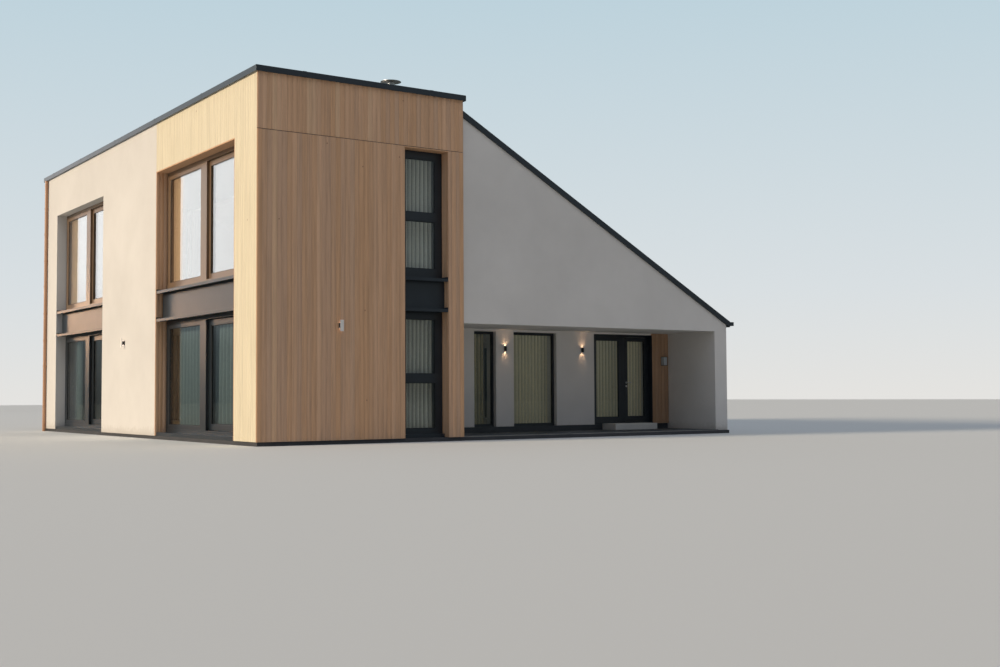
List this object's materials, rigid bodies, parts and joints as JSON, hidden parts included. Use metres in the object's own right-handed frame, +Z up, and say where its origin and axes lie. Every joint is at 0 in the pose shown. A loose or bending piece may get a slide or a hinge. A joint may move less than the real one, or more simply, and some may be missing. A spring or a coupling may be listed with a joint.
{
  "type": "detached house",
  "caption": "Two-storey detached house: a timber-clad and rendered flat-roofed block with tall glazed bays, and a pitched wing over a recessed porch with a glazed door.",
  "frame": {"origin": "centre of the house's overall box, at ground level", "axes": "+X to the right seen from the front, +Y from the front to the rear, +Z up"},
  "size_m": [13.036, 15.74, 8.62],
  "materials": {
    "render": "fine painted render",
    "timber": "upright softwood boards",
    "dark_metal": "satin coated sheet",
    "frame_metal": "satin coated frames",
    "glass": "clear",
    "concrete": "cast concrete",
    "slate": "honed paving",
    "step": "smooth cast stone",
    "membrane": "roof membrane on the deck",
    "steel": "stainless flue",
    "lamp": "satin",
    "curtain": "pleated cloth",
    "lining": "roof timbers with lining boards"
  },
  "bodies": {
    "house": {"plinth": "concrete", "ground_floor": "concrete", "first_floor": "concrete", "porch_floor": "slate", "porch_base": "slate", "entrance_step": "step", "left_wall_front_pier": "render", "left_wall_middle_pier": "render", "left_wall_rear_pier": "render", "left_wall_top": "render", "front_wall": "render", "porch_side_wall": "render", "gable_wall": "render", "porch_wall": "render", "entrance_lintel": "render", "porch_wall_end": "render", "porch_ceiling": "render", "right_wall": "render", "rear_wall_left": "render", "rear_wall_right": "render", "roof_beam": "render", "flat_roof": "membrane", "pitched_roof": "lining", "roof_covering": "dark_metal", "verge_trims": "dark_metal", "parapet_coping": "dark_metal", "eaves_gutter": "dark_metal", "downpipes": "dark_metal", "flue": "steel", "flue_cap": "steel", "chimney": "render", "chimney_cap": "concrete", "front_cladding_lower": "timber", "front_cladding_upper": "timber", "left_cladding_pier": "timber", "left_cladding_top": "timber", "bay_jamb_lining": "timber", "porch_cladding": "timber", "window_ledges": "dark_metal", "metal_panels": "dark_metal", "bay_lower_frames": "frame_metal", "bay_upper_frames": "frame_metal", "bay_fixed_sashes": "frame_metal", "slim_window_frames": "frame_metal", "tall_window_frames": "frame_metal", "fixed_glass": "glass", "entrance_frame": "frame_metal", "wall_lights": "lamp", "curtains": "curtain"},
    "front_bay_door": {"front_bay_leaf": "frame_metal", "front_bay_leaf_glass": "glass"},
    "rear_bay_door": {"rear_bay_leaf": "frame_metal", "rear_bay_leaf_glass": "glass"},
    "entrance_door": {"entrance_leaf": "frame_metal", "entrance_leaf_glass": "glass"}
  },
  "joints": [
    {"name": "front_bay_slide", "type": "slide", "parent": "house", "child": "front_bay_door", "axis": [0, 1, 0], "range_m": [0, 2.36]},
    {"name": "rear_bay_slide", "type": "slide", "parent": "house", "child": "rear_bay_door", "axis": [0, 1, 0], "range_m": [0, 2.21]},
    {"name": "entrance_hinge", "type": "hinge", "parent": "house", "child": "entrance_door", "pos_m": [5.275, -5.789, 1.3], "axis": [0, 0, 1], "range_deg": [0, 90]}
  ]
}
